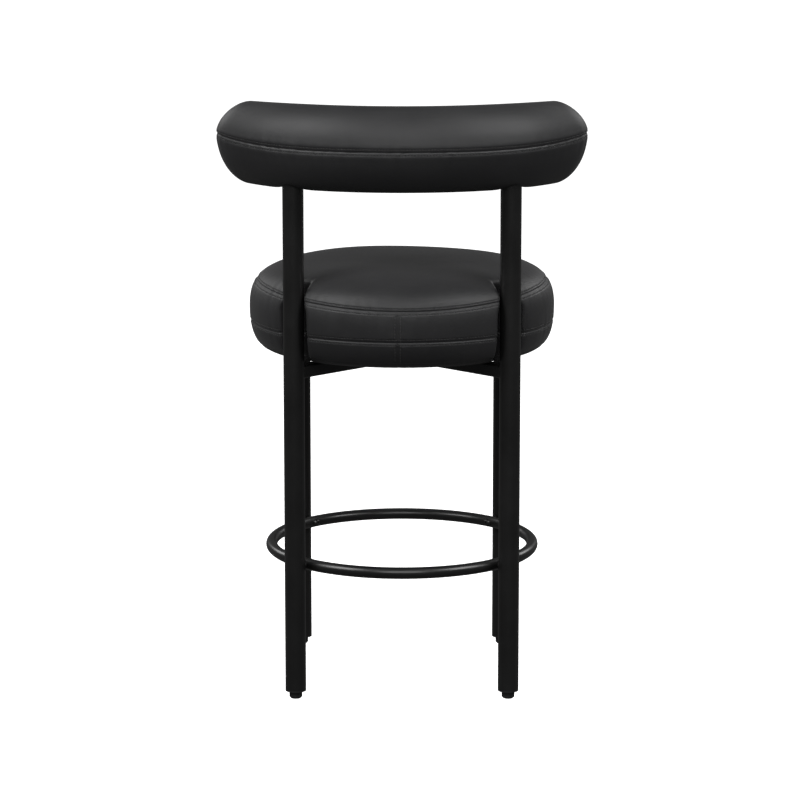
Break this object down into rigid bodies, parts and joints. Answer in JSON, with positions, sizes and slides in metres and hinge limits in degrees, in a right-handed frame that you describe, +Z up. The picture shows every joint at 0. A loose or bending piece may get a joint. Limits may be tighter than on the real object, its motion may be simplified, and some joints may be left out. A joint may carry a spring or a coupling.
{
  "type": "bar stool",
  "caption": "Counter-height bar stool with a thick round upholstered seat, a curved padded roll backrest, straight round legs and a round tube footrest.",
  "frame": {"origin": "on the floor, in the middle of the stool's overall width and depth", "axes": "+Z up, +Y the way the sitter faces, -Y the backrest side, +X the sitter's right"},
  "size_m": [0.562, 0.4921, 0.9175],
  "materials": {
    "black_powder_coat": "satin",
    "black_gloss_coat": "gloss",
    "black_leather": "satin",
    "black_plastic": "matte",
    "black_bolts": "satin",
    "zinc_steel": "satin",
    "plywood": "matte",
    "foam": "matte",
    "black_nonwoven": "matte"
  },
  "bodies": {
    "stool": {"rear_leg_left": "black_powder_coat", "rear_leg_right": "black_powder_coat", "front_leg_left": "black_powder_coat", "front_leg_right": "black_powder_coat", "front_leg_cap_left": "black_plastic", "front_leg_cap_right": "black_plastic", "post_cap_left": "black_plastic", "post_cap_right": "black_plastic", "brace_bar_long": "black_powder_coat", "brace_bar_half_left": "black_powder_coat", "brace_bar_half_right": "black_powder_coat", "seat_plate": "black_powder_coat", "footrest_ring": "black_gloss_coat", "ring_bushes": "black_plastic", "ring_saddle_washers": "black_plastic", "ring_bolts": "black_bolts", "seat_board": "plywood", "seat_foam": "foam", "seat_top_cover": "black_leather", "seat_side_band": "black_leather", "seat_lower_band": "black_leather", "seat_dust_cover": "black_nonwoven", "seat_staples": "zinc_steel", "seat_tee_nuts": "zinc_steel", "seat_screws": "black_bolts", "backrest_arc_bar": "black_powder_coat", "backrest_foam": "foam", "backrest_upper_cover": "black_leather", "backrest_lower_cover": "black_leather", "foot_insert_rear_left": "black_plastic", "foot_insert_rear_right": "black_plastic", "foot_insert_front_left": "black_plastic", "foot_insert_front_right": "black_plastic"},
    "levelling_glide_rear_left": {"glide_stud_rear_left": "zinc_steel", "glide_pad_rear_left": "black_plastic"},
    "levelling_glide_rear_right": {"glide_stud_rear_right": "zinc_steel", "glide_pad_rear_right": "black_plastic"},
    "levelling_glide_front_left": {"glide_stud_front_left": "zinc_steel", "glide_pad_front_left": "black_plastic"},
    "levelling_glide_front_right": {"glide_stud_front_right": "zinc_steel", "glide_pad_front_right": "black_plastic"}
  },
  "joints": [
    {"name": "glide_height_rear_left", "type": "slide", "parent": "stool", "child": "levelling_glide_rear_left", "axis": [0, 0, -1], "range_m": [0, 0.008]},
    {"name": "glide_height_rear_right", "type": "slide", "parent": "stool", "child": "levelling_glide_rear_right", "axis": [0, 0, -1], "range_m": [0, 0.008]},
    {"name": "glide_height_front_left", "type": "slide", "parent": "stool", "child": "levelling_glide_front_left", "axis": [0, 0, -1], "range_m": [0, 0.008]},
    {"name": "glide_height_front_right", "type": "slide", "parent": "stool", "child": "levelling_glide_front_right", "axis": [0, 0, -1], "range_m": [0, 0.008]}
  ]
}
